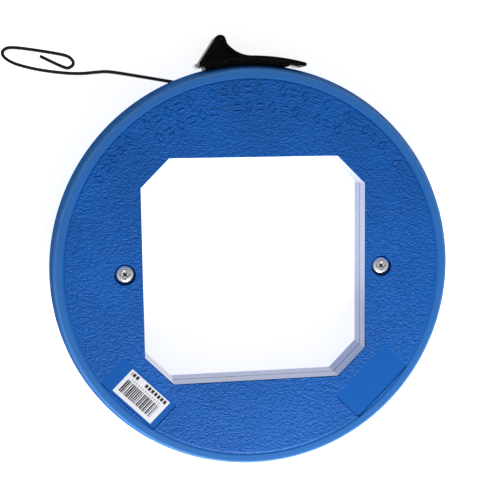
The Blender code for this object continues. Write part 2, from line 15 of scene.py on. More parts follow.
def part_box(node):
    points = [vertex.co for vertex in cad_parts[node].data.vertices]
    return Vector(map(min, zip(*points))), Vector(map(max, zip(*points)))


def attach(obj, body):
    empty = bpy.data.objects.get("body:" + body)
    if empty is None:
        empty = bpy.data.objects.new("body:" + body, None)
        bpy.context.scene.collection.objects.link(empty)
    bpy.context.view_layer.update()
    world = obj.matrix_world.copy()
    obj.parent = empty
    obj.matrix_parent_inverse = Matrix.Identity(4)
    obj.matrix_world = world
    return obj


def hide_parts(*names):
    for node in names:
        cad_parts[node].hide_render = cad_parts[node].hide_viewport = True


bl_info = {
    "name": "Fish Tape Reel",
    "version": (1, 0, 0),
    "blender": (4, 5, 0),
    "location": "3D View > Sidebar > Fish Tape",
    "description": "Moulded reel case, rim winder, fasteners, label, wound tape and hooked tape end",
    "category": "Object",
}

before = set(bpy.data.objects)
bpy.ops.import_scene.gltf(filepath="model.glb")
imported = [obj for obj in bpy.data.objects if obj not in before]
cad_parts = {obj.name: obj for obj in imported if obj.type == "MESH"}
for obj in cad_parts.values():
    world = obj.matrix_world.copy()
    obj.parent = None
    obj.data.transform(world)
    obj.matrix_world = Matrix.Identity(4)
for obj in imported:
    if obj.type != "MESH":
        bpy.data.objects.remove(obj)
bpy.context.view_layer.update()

MM = 0.001
CASE_LOW, CASE_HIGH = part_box("front_shell")
REAR_LOW, REAR_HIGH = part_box("rear_shell")
COIL_LOW, COIL_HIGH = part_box("fish_tape_coil")
LABEL_LOW, LABEL_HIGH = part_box("barcode_label")
AXIS_Y = (CASE_LOW.y + CASE_HIGH.y) / 2
CASE_RADIUS = (CASE_HIGH.x - CASE_LOW.x) / 2 / MM
THICKNESS = CASE_HIGH.z / MM
MIDDLE = THICKNESS / 2
PARTING = (CASE_LOW.z - REAR_HIGH.z) / MM
COIL_OUTER = (COIL_HIGH.x - COIL_LOW.x) / 2 / MM
PLACE = Matrix.Translation((0.0, AXIS_Y, 0.0)) @ Matrix.Scale(MM, 4)
SCREW_LOW, SCREW_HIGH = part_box("case_screw_right")
SCREW_X = (SCREW_LOW.x + SCREW_HIGH.x) / 2 / MM
HEAD_HEIGHT = 2.3
HEAD_SEAT = SCREW_HIGH.z / MM - HEAD_HEIGHT

# The case, in millimetres.
BORDER_RISE = 0.3
FACE_TOP = THICKNESS - BORDER_RISE
RIM_LEAN = 1.8
EDGE_ROUND = 1.3
RIM_WALL = 3.2
SEAM_EDGE = 0.15
OPENING_FLARE = 0.5
SCREW_FROM_WALL = 8.65
BOSS_RADIUS = 6.8
SCREW_HOLE = 2.2
NUT_ACROSS = 8.7
NUT_CLEARANCE = 0.3
# A seat's radius, sides, depth and flare.
SCREW_SEAT = (5.1, 64, 2.9, 0.35)
NUT_SEAT = ((NUT_ACROSS + NUT_CLEARANCE) / 2 / math.cos(math.radians(30)), 6, 3.6, 0.25)
POCKET_LENGTH = 36.0
POCKET_WIDTH = 16.6
POCKET_CORNER = 1.2
POCKET_DEPTH = 0.28
POCKET_FLARE = 0.27
POCKET_RADIUS = 83.6

# The tape and the winder, in millimetres, and the slope of the tape's straight run in degrees.
TAPE_GAP = 0.3
HALF_TAPE = 0.75
TAPE_SLOPE = 9.2
TAPE_INSIDE = 29.0
TURN_STEPS = 72
OPEN_TURNS = 1.6
OPEN_TURN_ROOM = 20.0
OPEN_TURN_CLIMB = 3.45
SADDLE_END = 23.2

# The stage, in metres.
FLOOR_SIZE = 40.0
FLOOR_DROP = 0.0002
BACKDROP_RADIUS = 8.0


# ---------------------------------------------------------------- sizes and colours


def length_property(name, description, default):
    """A size in metres."""
    return FloatProperty(name=name, description=description, default=default, unit="LENGTH")


def angle_property(name, description, degrees):
    """An angle, its default given in degrees."""
    return FloatProperty(name=name, description=description, default=math.radians(degrees), subtype="ANGLE")


def colour_property(name, description, default):
    """A colour, with each channel from 0 to 1."""
    return FloatVectorProperty(
        name=name, description=description, default=default, subtype="COLOR", size=3, min=0.0, max=1.0
    )


class FishTapeCase(bpy.types.PropertyGroup):
    """The two moulded halves of the case."""

    opening: length_property("Opening", "Width of the eight-sided hand opening", 0.1107)
    chamfer: length_property("Corner Cut", "How far each corner of the opening is cut back", 0.0139)
    wall: length_property("Wall", "Thickness of plate and hub", 0.0022)
    border: length_property("Border", "Width of the smooth raised border", 0.0035)
    slot: length_property("Rim Slot", "Width of the slot between the rims", 0.006)
    grain_size: length_property("Grain Size", "Width of one pebble of the moulded grain", 0.0009)
    grain_depth: length_property("Grain Depth", "Height of the moulded grain", 0.00034)
    colour: colour_property("Case Colour", "Colour of the moulded plastic", (0.005, 0.098, 0.405))


class FishTapeMarks(bpy.types.PropertyGroup):
    """The raised marks round the upper face."""

    height: length_property("Mark Height", "How far the marks stand off the face", 0.00024)
    stroke: length_property("Stroke", "Width of one stroke", 0.00075)


class FishTapeFasteners(bpy.types.PropertyGroup):
    """Screws and nuts."""

    head: length_property("Head", "Radius of a case screw's head", 0.0041)
    zinc: colour_property("Zinc Colour", "Colour of the plated fasteners", (0.95, 0.97, 1.0))


class FishTapeLabel(bpy.types.PropertyGroup):
    """The printed label."""

    length: length_property("Label Length", "Long side", 0.0254)
    width: length_property("Label Width", "Short side", 0.0143)
    modules: IntProperty(name="Bars", description="Printed bars along the label", default=25, min=10)


class FishTapeSteel(bpy.types.PropertyGroup):
    """The flat steel tape."""

    width: length_property("Tape Width", "Width of the flat tape", 0.0032)
    thickness: length_property("Tape Thickness", "Thickness of the flat tape", 0.0015)
    layers: IntProperty(name="Layers", description="Full layers in the coil", default=7, min=1)
    columns: IntProperty(name="Columns", description="Turns side by side in a layer", default=4, min=1)
    colour: colour_property("Steel Colour", "Colour of the blued steel", (0.03, 0.029, 0.031))


class FishTapeWinder(bpy.types.PropertyGroup):
    """The winder that runs round the rim."""

    width: length_property("Winder Width", "Across the rims", 0.014)
    edge: length_property("Edge", "Radius of the moulded edges", 0.0005)
    colour: colour_property("Winder Colour", "Colour of the nylon", (0.0016, 0.0016, 0.0024))


class FishTapeStage(bpy.types.PropertyGroup):
    """Camera and floor."""

    lens: FloatProperty(name="Lens", description="Focal length", default=69.7, unit="CAMERA", min=10.0)
    distance: length_property("Distance", "From the camera to the case's front face", 0.476)
    turn: angle_property("Turn", "How far the reel is turned to the side", 9.43)
    tilt: angle_property("Tilt", "How far the reel's top leans away", 7.06)
    roll: angle_property("Roll", "How far the reel is turned in the picture", 0.7)
    floor: colour_property("Floor Colour", "Colour of the floor", (0.9, 0.9, 0.9))


# ---------------------------------------------------------------- outlines in millimetres


def arc(centre, radius, start, end, steps):
    """Points on an arc, with angles in degrees."""
    angles = [math.radians(start + (end - start) * i / steps) for i in range(steps + 1)]
    return [(centre[0] + radius * math.cos(a), centre[1] + radius * math.sin(a)) for a in angles]


def circle(radius, steps=48, centre=(0.0, 0.0)):
    """A closed circle."""
    return arc(centre, radius, 0.0, 360.0 * (steps - 1) / steps, steps - 1)


def grown_octagon(case, offset):
    """The hand opening's outline, a square with cut corners, moved outward by an offset."""
    half = case.opening / MM / 2
    short = half - case.chamfer / MM + offset * math.tan(math.radians(22.5))
    points = [(half + offset, -short), (half + offset, short)]
    for _ in range(3):
        points += [(-y, x) for x, y in points[-2:]]
    return points


def rounded_rectangle(length, width, radius, centre, angle, offset=0.0):
    """A turned rectangle with rounded corners, in millimetres and radians."""
    spin = Matrix.Rotation(angle, 2)
    points = []
    for i, (sx, sy) in enumerate(((1, 1), (-1, 1), (-1, -1), (1, -1))):
        middle = (sx * (length / 2 - radius), sy * (width / 2 - radius))
        points += arc(middle, radius + offset, 90 * i, 90 * i + 90, 4)
    turned = [spin @ Vector(point) for point in points]
    return [(centre[0] + p.x, centre[1] + p.y) for p in turned]


def on_rim(along, height):
    """A place along the rim from its top, clockwise, at a height above the case's radius."""
    angle = along / CASE_RADIUS
    return ((CASE_RADIUS + height) * math.sin(angle), (CASE_RADIUS + height) * math.cos(angle))


def rim_band(low, high, left, right, slant=0.0, steps=40):
    """An outline that follows the rim between two heights, its top longer by the slant."""
    parts = [i / steps for i in range(steps + 1)]
    outer = [on_rim(left + (right + slant - left) * part, high) for part in parts]
    return outer + [on_rim(left + (right - left) * part, low) for part in reversed(parts)]


# ---------------------------------------------------------------- solids


def outward(work):
    """Turns every face outward."""
    bmesh.ops.recalc_face_normals(work, faces=work.faces)
    if work.calc_volume(signed=True) < 0:
        bmesh.ops.reverse_faces(work, faces=work.faces)
    return work


def stack(layers):
    """A solid through a stack of outlines, each an (outline, height) pair with as many points."""
    work = bmesh.new()
    rings = [[work.verts.new((x, y, z)) for x, y in outline] for outline, z in layers]
    for low, high in zip(rings, rings[1:]):
        for i in range(len(low)):
            j = (i + 1) % len(low)
            work.faces.new((low[i], low[j], high[j], high[i]))
    work.faces.new(list(reversed(rings[0])))
    work.faces.new(rings[-1])
    return outward(work)


def lathe(profile, steps, placed=None):
    """A solid of revolution about Z from a closed (radius, height) profile."""
    work = bmesh.new()
    rings = []
    for step in range(steps):
        angle = 2 * math.pi * step / steps
        rings.append([work.verts.new((r * math.cos(angle), r * math.sin(angle), z)) for r, z in profile])
    for here, there in zip(rings, rings[1:] + rings[:1]):
        for i in range(len(profile)):
            j = (i + 1) % len(profile)
            work.faces.new((here[i], here[j], there[j], there[i]))
    bmesh.ops.remove_doubles(work, verts=work.verts, dist=1e-5)
    bmesh.ops.dissolve_degenerate(work, edges=work.edges, dist=1e-5)
    if placed:
        work.transform(placed)
    return outward(work)


def strip(line, width, thickness, edge):
    """A flat strip with rounded edges that follows a line, its width along Z."""
    work = bmesh.new()
    section = []
    for i, (sx, sy) in enumerate(((1, 1), (-1, 1), (-1, -1), (1, -1))):
        middle = (sx * (thickness / 2 - edge), sy * (width / 2 - edge))
        section += arc(middle, edge, 90 * i, 90 * i + 90, 2)
    rings = []
    for i, point in enumerate(line):
        run = line[min(i + 1, len(line) - 1)] - line[max(i - 1, 0)]
        side = Vector((-run.y, run.x, 0.0)).normalized()
        rings.append([work.verts.new(point + side * x + Vector((0.0, 0.0, y))) for x, y in section])
    for here, there in zip(rings, rings[1:]):
        for i in range(len(section)):
            j = (i + 1) % len(section)
            work.faces.new((here[i], here[j], there[j], there[i]))
    work.faces.new(rings[0])
    work.faces.new(list(reversed(rings[-1])))
    return outward(work)


def join(works):
    """Several solids as one mesh."""
    whole = bmesh.new()
    for work in works:
        mesh = bpy.data.meshes.new("part")
        work.to_mesh(mesh)
        work.free()
        whole.from_mesh(mesh)
        bpy.data.meshes.remove(mesh)
    return whole


def linked(name, data):
    """A new object in the scene."""
    made = bpy.data.objects.new(name, data)
    bpy.context.scene.collection.objects.link(made)
    return made


def carve(work, tools):
    """Joins solids to a solid, or cuts them from it: tools are (operation, solid) pairs."""
    base = linked("base", bpy.data.meshes.new("base"))
    work.to_mesh(base.data)
    work.free()
    cutters = []
    for operation, solid in tools:
        cutter = linked("cutter", bpy.data.meshes.new("cutter"))
        solid.to_mesh(cutter.data)
        solid.free()
        cutters.append(cutter)
        step = base.modifiers.new("carve", "BOOLEAN")
        step.operation = operation
        step.object = cutter
        step.solver = "EXACT"
    depsgraph = bpy.context.evaluated_depsgraph_get()
    carved = bmesh.new()
    carved.from_mesh(bpy.data.meshes.new_from_object(base.evaluated_get(depsgraph)))
    for spent in [base] + cutters:
        bpy.data.objects.remove(spent)
    return carved


def piece(name, work, body, finish, smooth=30.0, bevel=0.0, segments=3):
    """Places a solid in the model's frame as a named piece that moves with a body."""
    mesh = bpy.data.meshes.new(name)
    work.to_mesh(mesh)
    work.free()
    mesh.transform(PLACE)
    made = linked(name, mesh)
    mesh.materials.append(finish)
    mesh.shade_smooth()
    mesh.set_sharp_from_angle(angle=math.radians(smooth))
    if bevel:
        edge = made.modifiers.new("Edges", "BEVEL")
        edge.width = bevel * MM
        edge.segments = segments
        edge.limit_method = "ANGLE"
        edge.angle_limit = math.radians(smooth)
        edge.harden_normals = True
    weighted = made.modifiers.new("Shading", "WEIGHTED_NORMAL")
    weighted.keep_sharp = not bevel
    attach(made, body)
    return made


def finish_node(node, finish, bevel=0.0):
    """Gives a packed node its finish, and softens its edges."""
    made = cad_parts[node]
    made.data.materials.clear()
    made.data.materials.append(finish)
    if bevel:
        edge = made.modifiers.new("Edges", "BEVEL")
        edge.width = bevel * MM
        edge.segments = 2
        edge.limit_method = "ANGLE"
        edge.angle_limit = math.radians(35.0)
    return made


# ---------------------------------------------------------------- finishes


def new_finish(name, colour, roughness, metallic=0.0, **sockets):
    """A material, with every even number or colour set on its shader's own socket."""
    made = bpy.data.materials.new(name)
    made.use_nodes = True
    shader = made.node_tree.nodes["Principled BSDF"]
    shader.inputs["Base Color"].default_value = (*colour, 1.0)
    shader.inputs["Roughness"].default_value = roughness
    shader.inputs["Metallic"].default_value = metallic
    for socket, value in sockets.items():
        shader.inputs[socket.replace("_", " ").title().replace("Ior", "IOR")].default_value = value
    return made, made.node_tree, shader


def node(tree, kind, values=(), **settings):
    """A node with its settings, and its sockets linked or set."""
    made = tree.nodes.new(kind)
    for name, value in settings.items():
        setattr(made, name, value)
    for socket, value in dict(values).items():
        if isinstance(value, bpy.types.NodeSocket):
            tree.links.new(value, made.inputs[socket])
        else:
            made.inputs[socket].default_value = value
    return made


def maths(tree, operation, *values):
    """A math node's answer."""
    return node(tree, "ShaderNodeMath", enumerate(values), operation=operation).outputs[0]


def times(tree, first, second):
    """The product of two values."""
    return maths(tree, "MULTIPLY", first, second)


def distance(tree, spot):
    """How far a place is from the origin."""
    return node(tree, "ShaderNodeVectorMath", {0: spot}, operation="LENGTH").outputs["Value"]


def ramp(tree, value, low, high, start=0.0, end=1.0):
    """A smooth step of a value between two limits."""
    made = node(
        tree,
        "ShaderNodeMapRange",
        {0: value, 1: low, 2: high, 3: start, 4: end},
        interpolation_type="SMOOTHSTEP",
    )
    return made.outputs[0]


def band(tree, value, low, high):
    """One where a value lies between two limits, and nought elsewhere."""
    above = maths(tree, "GREATER_THAN", value, low)
    below = maths(tree, "LESS_THAN", value, high)
    return times(tree, above, below)


def mix(tree, factor, first, second):
    """A colour between two colours."""
    made = node(tree, "ShaderNodeMix", {0: factor}, data_type="RGBA")
    for socket, value in ((6, first), (7, second)):
        if isinstance(value, bpy.types.NodeSocket):
            tree.links.new(value, made.inputs[socket])
        else:
            made.inputs[socket].default_value = (*value, 1.0)
    return made.outputs[2]


def position(tree):
    """The place on the model in millimetres about the reel's axis."""
    spot = node(tree, "ShaderNodeTexCoord").outputs["Object"]
    moved = node(tree, "ShaderNodeVectorMath", {0: spot, 1: (0.0, AXIS_Y, 0.0)}, operation="SUBTRACT")
    sockets = {0: moved.outputs[0], "Scale": 1 / MM}
    return node(tree, "ShaderNodeVectorMath", sockets, operation="SCALE").outputs[0]


def noise(tree, spot, scale, detail=3.0, roughness=0.5):
    """A noise value at a place."""
    sockets = {"Vector": spot, "Scale": scale, "Detail": detail, "Roughness": roughness}
    return node(tree, "ShaderNodeTexNoise", sockets).outputs[0]


def stretched(tree, spot, scale):
    """A place, scaled by three factors."""
    return node(tree, "ShaderNodeVectorMath", {0: spot, 1: scale}, operation="MULTIPLY").outputs[0]


def bump(tree, shader, height, depth, strength=1.0):
    """Gives a shader a fine relief, its depth in millimetres."""
    made = node(tree, "ShaderNodeBump", {"Height": height, "Distance": depth * MM, "Strength": strength})
    tree.links.new(made.outputs[0], shader.inputs["Normal"])


def shade(tone, colour):
    """A colour made lighter or darker."""
    return tuple(min(1.0, tone * c) for c in colour)


def moulded_blue(case, name="moulded_blue", shine=0.16, dullness=0.34, **sockets):
    """Blue polypropylene: pebbled on its two faces and smooth on the border, with painted shade in the
    grain's valleys, and painted sheen that pales the border, the rounded edge (worn there too) and the rim's
    side.
    """
    colour = tuple(case.colour)
    made, tree, shader = new_finish(name, colour, 0.4, specular_ior_level=shine, **sockets)
    spot = position(tree)
    parts = node(tree, "ShaderNodeSeparateXYZ", {0: spot})
    flat = stretched(tree, spot, (1.0, 1.0, 0.0))
    reach = distance(tree, flat)
    level = maths(tree, "ABSOLUTE", maths(tree, "SUBTRACT", parts.outputs[2], MIDDLE))
    border_inner = CASE_RADIUS - RIM_LEAN - EDGE_ROUND - case.border / MM
    on_face = times(
        tree,
        ramp(tree, level, MIDDLE - 0.42, MIDDLE - 0.33),
        ramp(tree, level, MIDDLE - 0.24, MIDDLE - 0.16, 1.0, 0.0),
    )
    grained = times(tree, on_face, ramp(tree, reach, border_inner - 1.2, border_inner - 0.1, 1.0, 0.0))

    pebble = MM / case.grain_size
    wander = node(tree, "ShaderNodeTexNoise", {"Vector": flat, "Scale": 0.45 * pebble, "Detail": 1.0})
    pushed = node(
        tree,
        "ShaderNodeVectorMath",
        {0: wander.outputs[1], 1: (3.0, 3.0, 0.0), 2: flat},
        operation="MULTIPLY_ADD",
    )
    cells = node(
        tree,
        "ShaderNodeTexVoronoi",
        {"Vector": stretched(tree, pushed.outputs[0], (0.62, 1.15, 1.0)), "Scale": pebble, "Smoothness": 1.0},
        feature="SMOOTH_F1",
    )
    crease = ramp(tree, cells.outputs[0], 0.15, 0.75, 1.0, 0.0)
    fine = noise(tree, stretched(tree, pushed.outputs[0], (0.6, 1.2, 1.0)), 1.25 * pebble, 2.0, 0.45)
    relief = maths(tree, "MULTIPLY_ADD", crease, 0.55, times(tree, fine, 0.9))
    smooth_skin = times(tree, noise(tree, spot, 0.5, 2.0), 0.05)
    height = maths(tree, "MULTIPLY_ADD", relief, grained, smooth_skin)
    bump(tree, shader, height, case.grain_depth / MM)

    drift = noise(tree, spot, 0.035, 2.0)
    base = mix(tree, ramp(tree, drift, 0.3, 0.7), shade(0.93, colour), shade(1.08, colour))
    # Painted shade: the grain's valleys are darkened in the colour, as shade would fall in them.
    valley_shade = times(tree, grained, ramp(tree, relief, 0.35, 0.7, 0.16, 0.0))
    base = mix(tree, valley_shade, base, shade(0.55, colour))
    # Painted sheen: the smooth border is made paler and greener in the colour, standing in for the light it
    # reflects.
    lip = times(tree, ramp(tree, reach, border_inner - 0.8, border_inner + 1.4), ramp(tree, level, 8.0, 9.0))
    paler = (colour[0] + 0.03, 1.4 * colour[1] + 0.02, 1.12 * colour[2])
    base = mix(tree, times(tree, lip, 0.8), base, paler)
    # Partly wear and partly a painted highlight: the rounded outer edge is lightened in a continuous line,
    # broken up by noise like rubbed wear.
    edge = times(tree, ramp(tree, reach, 96.4, 97.2), ramp(tree, reach, 97.7, 98.3, 1.0, 0.0))
    worn = ramp(tree, noise(tree, spot, 0.22, 5.0, 0.7), 0.35, 0.7, 0.5, 1.0)
    rubbed = (colour[0] + 0.07, 1.9 * colour[1] + 0.04, 1.3 * colour[2] + 0.05)
    base = mix(tree, times(tree, edge, worn), base, rubbed)
    pale = tuple(0.7 * c + 0.045 for c in colour)
    scuffs = noise(tree, stretched(tree, spot, (0.09, 1.1, 0.4)), 0.9, 6.0, 0.75)
    scuffed = times(tree, ramp(tree, scuffs, 0.62, 0.72), 0.16)
    base = mix(tree, scuffed, base, pale)
    # Painted sheen: the rim's side is made paler and greener in the colour, standing in for the light it
    # catches.
    side = times(tree, ramp(tree, reach, 97.6, 98.4), ramp(tree, level, 8.6, 9.2, 1.0, 0.0))
    base = mix(tree, side, base, (colour[0] + 0.012, 1.25 * colour[1], colour[2]))
    tree.links.new(base, shader.inputs["Base Color"])

    gloss = maths(tree, "MULTIPLY_ADD", grained, 0.1, dullness)
    patchy = maths(tree, "MULTIPLY_ADD", noise(tree, spot, 0.3, 4.0), 0.12, gloss)
    tree.links.new(patchy, shader.inputs["Roughness"])
    return made


def nylon(name, colour, roughness):
    """Black nylon with a fine skin, rubbed paler here and there."""
    made, tree, shader = new_finish(name, colour, roughness, specular_ior_level=0.12)
    spot = position(tree)
    rubbed = ramp(tree, noise(tree, stretched(tree, spot, (0.5, 0.5, 1.6)), 0.8, 6.0, 0.7), 0.5, 0.8)
    pale = tuple(2.0 * c + 0.002 for c in colour)
    tree.links.new(mix(tree, rubbed, colour, pale), shader.inputs["Base Color"])
    skin = noise(tree, spot, 3.2, 3.0)
    tree.links.new(maths(tree, "MULTIPLY_ADD", skin, 0.16, roughness - 0.06), shader.inputs["Roughness"])
    bump(tree, shader, skin, 0.03)
    return made


def zinc_plating(fasteners, name="zinc_plating", recess=False):
    """Bright zinc plating with faint clouding, and painted shade in a driver recess."""
    colour = tuple(fasteners.zinc)
    made, tree, shader = new_finish(name, colour, 0.25, 0.6)
    spot = position(tree)
    cloud = noise(tree, spot, 1.4, 4.0)
    warm = (colour[0] * 0.86, colour[1] * 0.85, colour[2] * 0.8)
    base = mix(tree, ramp(tree, cloud, 0.35, 0.75), colour, warm)
    if recess:
        # Painted shade: the recess's steep walls and its deep cross are darkened in the colour, where shade
        # falls.
        parts = node(tree, "ShaderNodeSeparateXYZ", {0: spot})
        top = HEAD_SEAT + HEAD_HEIGHT
        wall = band(tree, parts.outputs[2], top - 0.37, top - 0.12)
        deep = band(tree, parts.outputs[2], HEAD_SEAT + 0.3, top - 0.5)
        sideways = maths(tree, "SUBTRACT", maths(tree, "ABSOLUTE", parts.outputs[0]), SCREW_X)
        across = node(tree, "ShaderNodeCombineXYZ", {0: sideways, 1: parts.outputs[1]})
        reach = distance(tree, across.outputs[0])
        inside = ramp(tree, reach, 2.6, 2.75, 1.0, 0.0)
        grime_and_shade = times(tree, maths(tree, "MAXIMUM", wall, deep), inside)
        base = mix(tree, times(tree, grime_and_shade, 0.93), base, (0.02, 0.02, 0.024))
    tree.links.new(base, shader.inputs["Base Color"])
    tree.links.new(maths(tree, "MULTIPLY_ADD", cloud, 0.2, 0.2), shader.inputs["Roughness"])
    bump(tree, shader, noise(tree, spot, 2.0, 2.0), 0.012)
    return made


def blued_steel(steel):
    """Dark blued spring steel, rolled lengthwise, with worn brighter streaks."""
    colour = tuple(steel.colour)
    made, tree, shader = new_finish("blued_steel", colour, 0.34, 0.85)
    spot = position(tree)
    grime_and_shade = noise(tree, stretched(tree, spot, (0.25, 0.25, 2.5)), 1.2, 5.0, 0.65)
    worn = mix(tree, ramp(tree, grime_and_shade, 0.55, 0.8), colour, (0.11, 0.1, 0.095))
    brown = ramp(tree, noise(tree, spot, 0.16, 3.0), 0.55, 0.8, 0.0, 0.5)
    tree.links.new(mix(tree, brown, worn, (0.045, 0.03, 0.022)), shader.inputs["Base Color"])
    tree.links.new(maths(tree, "MULTIPLY_ADD", grime_and_shade, 0.25, 0.22), shader.inputs["Roughness"])
    bump(tree, shader, noise(tree, stretched(tree, spot, (1.0, 1.0, 6.0)), 1.5, 3.0), 0.02)
    return made


def bright_strip():
    """Rolled bright spring steel with lengthwise lines."""
    made, tree, shader = new_finish("bright_spring_steel", (0.62, 0.61, 0.59), 0.25, 1.0)
    spot = position(tree)
    lines = noise(tree, stretched(tree, spot, (0.2, 0.2, 9.0)), 1.1, 4.0, 0.6)
    tree.links.new(
        mix(tree, ramp(tree, lines, 0.35, 0.7), (0.66, 0.65, 0.63), (0.46, 0.44, 0.42)),
        shader.inputs["Base Color"],
    )
    tree.links.new(maths(tree, "MULTIPLY_ADD", lines, 0.22, 0.16), shader.inputs["Roughness"])
    bump(tree, shader, lines, 0.015)
    return made


def printed_paper(label):
    """White coated paper, printed with plain bars and blocks."""
    made, tree, shader = new_finish("printed_paper", (0.84, 0.84, 0.87), 0.42)
    spot = position(tree)
    centre = (LABEL_LOW + LABEL_HIGH) / 2
    local = node(
        tree,
        "ShaderNodeVectorMath",
        {0: spot, 1: (centre.x / MM, (centre.y - AXIS_Y) / MM, 0.0)},
        operation="SUBTRACT",
    )
    sockets = {0: local.outputs[0], "Angle": math.radians(45)}
    turned = node(tree, "ShaderNodeVectorRotate", sockets, rotation_type="Z_AXIS")
    parts = node(tree, "ShaderNodeSeparateXYZ", {0: turned.outputs[0]})
    u = maths(tree, "MULTIPLY_ADD", parts.outputs[0], MM / label.length, 0.5)
    v = maths(tree, "MULTIPLY_ADD", parts.outputs[1], MM / label.width, 0.5)

    column = times(tree, u, float(label.modules))
    cell = maths(tree, "FLOOR", column)
    dice = node(tree, "ShaderNodeTexWhiteNoise", {"W": cell}, noise_dimensions="1D").outputs["Value"]
    bar_width = maths(tree, "MULTIPLY_ADD", dice, 0.46, 0.38)
    bars = maths(tree, "LESS_THAN", maths(tree, "FRACT", column), bar_width)
    bars = times(tree, bars, times(tree, band(tree, u, 0.08, 0.89), band(tree, v, 0.14, 0.64)))

    digit = maths(tree, "FRACT", times(tree, u, 17.0))
    digits = times(tree, band(tree, digit, 0.2, 0.72), band(tree, u, 0.12, 0.86))
    digits = times(tree, digits, band(tree, v, 0.685, 0.745))

    block = maths(tree, "FRACT", times(tree, u, 12.5))
    words = maths(tree, "ADD", band(tree, u, 0.05, 0.24), band(tree, u, 0.4, 0.96))
    words = times(tree, words, band(tree, block, 0.1, 0.82))
    words = times(tree, words, band(tree, v, 0.815, 0.945))

    ink = maths(tree, "MAXIMUM", maths(tree, "MAXIMUM", bars, words), times(tree, digits, 0.55))
    patchy = ramp(tree, noise(tree, spot, 2.6, 3.0), 0.2, 0.5, 0.8, 1.0)
    fibres = noise(tree, spot, 1.1, 5.0, 0.7)
    paper = mix(tree, ramp(tree, fibres, 0.3, 0.8), (0.74, 0.75, 0.8), (0.66, 0.67, 0.72))
    printed = mix(tree, times(tree, ink, patchy), paper, (0.004, 0.004, 0.005))
    tree.links.new(printed, shader.inputs["Base Color"])
    tree.links.new(maths(tree, "MULTIPLY_ADD", ink, -0.12, 0.46), shader.inputs["Roughness"])
    bump(tree, shader, noise(tree, spot, 4.0, 3.0), 0.012)
    return made


def floor_finish(colour):
    """A plain pale floor that glows a little, as a lit table does."""
    made, tree, shader = new_finish("pale_floor", tuple(colour), 0.7)
    shader.inputs["Emission Color"].default_value = (1.0, 1.0, 1.0, 1.0)
    shader.inputs["Emission Strength"].default_value = 0.78
    spot = node(tree, "ShaderNodeTexCoord").outputs["Object"]
    mottle = noise(tree, spot, 3.0, 3.0)
    tree.links.new(mix(tree, mottle, shade(0.995, colour), tuple(colour)), shader.inputs["Base Color"])
    return made


def backdrop_finish():
    """A plain white wall, far away, that only closes the view."""
    made, _, shader = new_finish("pale_backdrop", (0.9, 0.9, 0.9), 0.9)
    shader.inputs["Emission Color"].default_value = (1.0, 1.0, 1.0, 1.0)
    shader.inputs["Emission Strength"].default_value = 1.0
    return made


def finish_of(name, make, *settings, **sockets):
    """A finish by name, made the first time that it is asked for."""
    return bpy.data.materials.get(name) or make(*settings, **sockets)


# ---------------------------------------------------------------- the case


def mouth_layers(outline_at, high, flare):
    """The layers of a cutter's rounded mouth. outline_at(offset) gives its outline, moved outward."""
    layers = []
    for i in range(6):
        turn = math.radians(90 * i / 5)
        layers.append((outline_at(flare * (1 - math.cos(turn))), high - flare + flare * math.sin(turn)))
    layers.append((outline_at(flare), high + 2.0))
    return layers


def half_shell(case, front):
    """One moulded half of the case, about the axis. The rear half is the front one turned over."""

    def up(z):
        return z if front else THICKNESS - z

    def solid(layers):
        return stack([(outline, up(z)) for outline, z in layers])

    def seat_cutter(outline_at, depth, flare):
        layers = [(outline_at(0.0), FACE_TOP - depth)]
        return ("DIFFERENCE", solid(layers + mouth_layers(outline_at, FACE_TOP, flare)))

    wall = case.wall / MM
    border_outer = CASE_RADIUS - RIM_LEAN - EDGE_ROUND
    border_inner = border_outer - case.border / MM
    slot_top = MIDDLE + case.slot / MM / 2
    under = FACE_TOP - wall
    inner = CASE_RADIUS - RIM_WALL
    profile = [(0.0, FACE_TOP), (border_inner - 0.6, FACE_TOP), (border_inner - 0.15, FACE_TOP + 0.06)]
    profile += [(border_inner + 0.35, THICKNESS - 0.06), (border_inner + 0.8, THICKNESS)]
    profile += arc((border_outer, THICKNESS - EDGE_ROUND), EDGE_ROUND, 90, 6, 9)
    profile += [(CASE_RADIUS - 0.32, slot_top + 0.9)]
    profile += arc((CASE_RADIUS - 0.35, slot_top + 0.35), 0.35, 0, -90, 4)
    profile += [(inner + 0.3, slot_top), (inner, slot_top + 0.3)]
    profile += arc((inner - 1.0, under - 1.0), 1.0, 0, 90, 4)
    profile += [(0.0, under)]
    body = lathe([(r, up(z)) for r, z in profile], 256)

    seam = MIDDLE + PARTING / 2
    hub = grown_octagon(case, wall)
    tools = [("UNION", solid([(hub, FACE_TOP - wall / 2), (hub, seam)]))]
    spots = [(side * screw_place(case), 0.0) for side in (-1, 1)]
    for spot in spots:
        boss = circle(BOSS_RADIUS, 40, spot)
        tools.append(("UNION", solid([(boss, FACE_TOP - wall / 2), (boss, seam)])))

    def opening_at(offset):
        return grown_octagon(case, offset)

    opening = [(opening_at(0.6), seam - 1.0), (opening_at(SEAM_EDGE), seam)]
    opening += [(opening_at(0.0), seam + SEAM_EDGE)]
    tools.append(("DIFFERENCE", solid(opening + mouth_layers(opening_at, FACE_TOP, OPENING_FLARE))))
    radius, sides, depth, flare = SCREW_SEAT if front else NUT_SEAT
    for spot in spots:
        hole = circle(SCREW_HOLE, 32, spot)
        tools.append(("DIFFERENCE", solid([(hole, -1.0), (hole, THICKNESS + 1.0)])))

        def seat_at(offset, spot=spot):
            return circle(radius + offset, sides, spot)

        tools.append(seat_cutter(seat_at, depth, flare))
    for side in (-1, 1) if front else ():

        def pocket_at(offset, side=side):
            place = pocket_centre(side)
            turn = side * math.radians(45)
            return rounded_rectangle(POCKET_LENGTH, POCKET_WIDTH, POCKET_CORNER, place, turn, offset)

        tools.append(seat_cutter(pocket_at, POCKET_DEPTH, POCKET_FLARE))
    return carve(body, tools)


def screw_place(case):
    """How far a case screw is from the axis."""
    return case.opening / MM / 2 + SCREW_FROM_WALL


def pocket_centre(side):
    """The middle of the left (-1) or right (+1) label pocket."""
    reach = POCKET_RADIUS * math.sqrt(0.5)
    return (side * reach, -reach)


